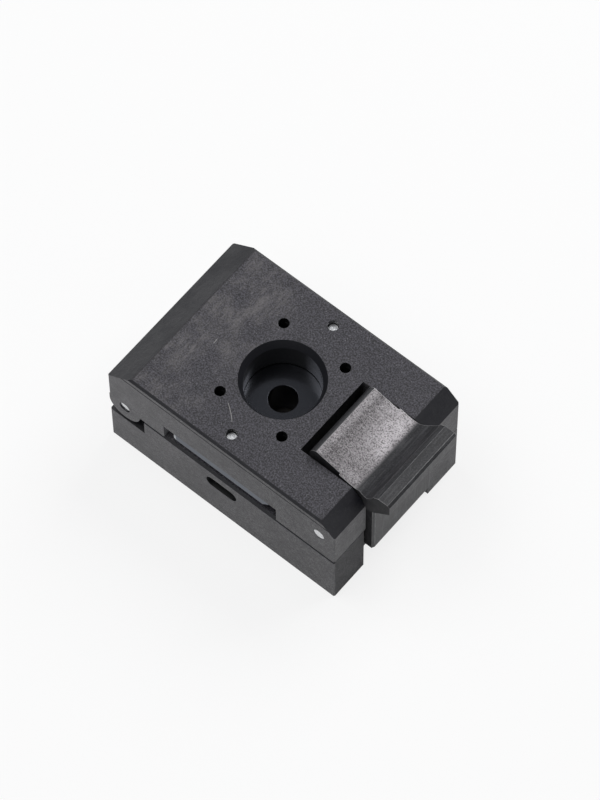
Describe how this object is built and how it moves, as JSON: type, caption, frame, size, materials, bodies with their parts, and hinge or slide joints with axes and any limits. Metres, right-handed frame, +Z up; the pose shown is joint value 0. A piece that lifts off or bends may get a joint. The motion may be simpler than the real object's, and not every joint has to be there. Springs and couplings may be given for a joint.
{
  "type": "ic burn-in socket",
  "caption": "Low black block with a hinged lid and a hook latch; the lid's spring-loaded press plate holds a chip in a floating nest on spring probes for burn-in on a test board.",
  "frame": {"origin": "centre of the base's seating face, where the four board screws are centred", "axes": "+X from the hinge to the latch, +Y across the width, +Z up away from the board"},
  "size_m": [0.0499, 0.03, 0.0262],
  "materials": {
    "body_black": "milled fibre-filled plastic, fine speckle",
    "latch_black": "milled, brushed and worn bright at its edges",
    "press_black": "dark anodised",
    "nest_plastic": "milled filled plastic",
    "probe_plastic": "milled high-temperature plastic",
    "pin_steel": "ground",
    "screw_steel": "turned",
    "spring_steel": "drawn wire",
    "probe_gold": "gold plated"
  },
  "bodies": {
    "base": {"base": "body_black", "hinge_pin": "pin_steel", "hinge_spring": "spring_steel", "nest_screws": "screw_steel", "nest_springs": "spring_steel", "upper_probe_plate": "probe_plastic", "lower_probe_plate": "probe_plastic", "probe_plate_screws": "screw_steel", "probe_plate_dowels": "pin_steel", "probe_barrels": "probe_gold"},
    "lid": {"lid": "body_black", "latch_pin": "pin_steel", "press_plate_screws": "screw_steel", "press_plate_springs": "spring_steel", "latch_springs": "spring_steel"},
    "latch": {"latch": "latch_black"},
    "press_plate": {"press_plate": "press_black"},
    "nest": {"nest": "nest_plastic"},
    "upper_plungers": {"upper_plungers": "probe_gold"},
    "lower_plungers": {"lower_plungers": "probe_gold"}
  },
  "joints": [
    {"name": "lid_hinge", "type": "hinge", "parent": "base", "child": "lid", "pos_m": [-0.0194, 0, 0.0119], "axis": [0, -1, 0], "range_deg": [0, 98], "deforming": ["hinge_spring"]},
    {"name": "latch_pivot", "type": "hinge", "parent": "lid", "child": "latch", "pos_m": [0.01945, 0, 0.01795], "axis": [0, -1, 0], "range_deg": [-5.5, 12], "stiffness_Nm_per_rad": 0.03, "deforming": ["latch_springs"]},
    {"name": "press_float", "type": "slide", "parent": "lid", "child": "press_plate", "axis": [0, 0, 1], "range_m": [0, 0.0002], "stiffness_N_per_m": 200, "springref_m": -0.0005, "deforming": ["press_plate_springs"]},
    {"name": "nest_float", "type": "slide", "parent": "base", "child": "nest", "axis": [0, 0, -1], "range_m": [0, 0.0005], "stiffness_N_per_m": 200, "springref_m": -0.0005, "deforming": ["nest_springs"]},
    {"name": "upper_plunger_slide", "type": "slide", "parent": "base", "child": "upper_plungers", "axis": [0, 0, -1], "range_m": [0, 0.0005], "stiffness_N_per_m": 12, "springref_m": -0.0005},
    {"name": "lower_plunger_slide", "type": "slide", "parent": "base", "child": "lower_plungers", "axis": [0, 0, -1], "range_m": [0, 0.0003], "stiffness_N_per_m": 8, "springref_m": 0.0003}
  ]
}
